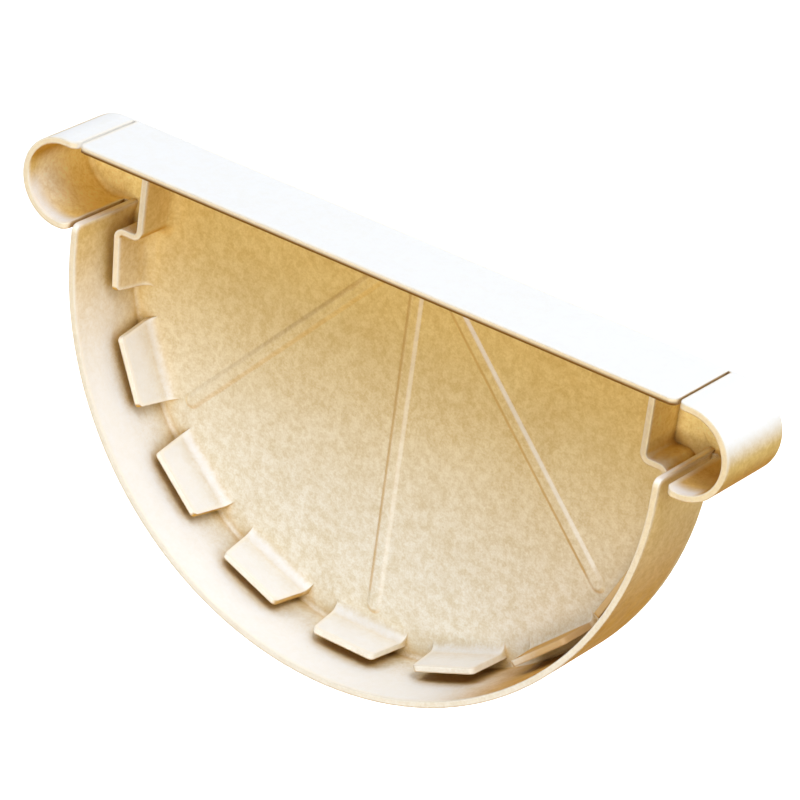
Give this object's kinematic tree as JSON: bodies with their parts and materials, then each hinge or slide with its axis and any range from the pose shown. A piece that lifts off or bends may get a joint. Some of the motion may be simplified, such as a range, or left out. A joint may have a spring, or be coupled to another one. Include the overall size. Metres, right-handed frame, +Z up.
{
  "type": "gutter end cap",
  "caption": "Half-round gutter end cap of coated sheet, with a skirt, bead sleeves and tabs that hold the gutter's end.",
  "frame": {"origin": "centre of the half-round skirt, in the plane of its open mouth", "axes": "+X across the gutter, +Y along the gutter from the mouth towards the plate, +Z up"},
  "size_m": [0.1526, 0.0188, 0.0825],
  "materials": {
    "ivory_coating": "satin ivory coating"
  },
  "bodies": {
    "root": {"end_cap": "ivory_coating"}
  },
  "joints": []
}
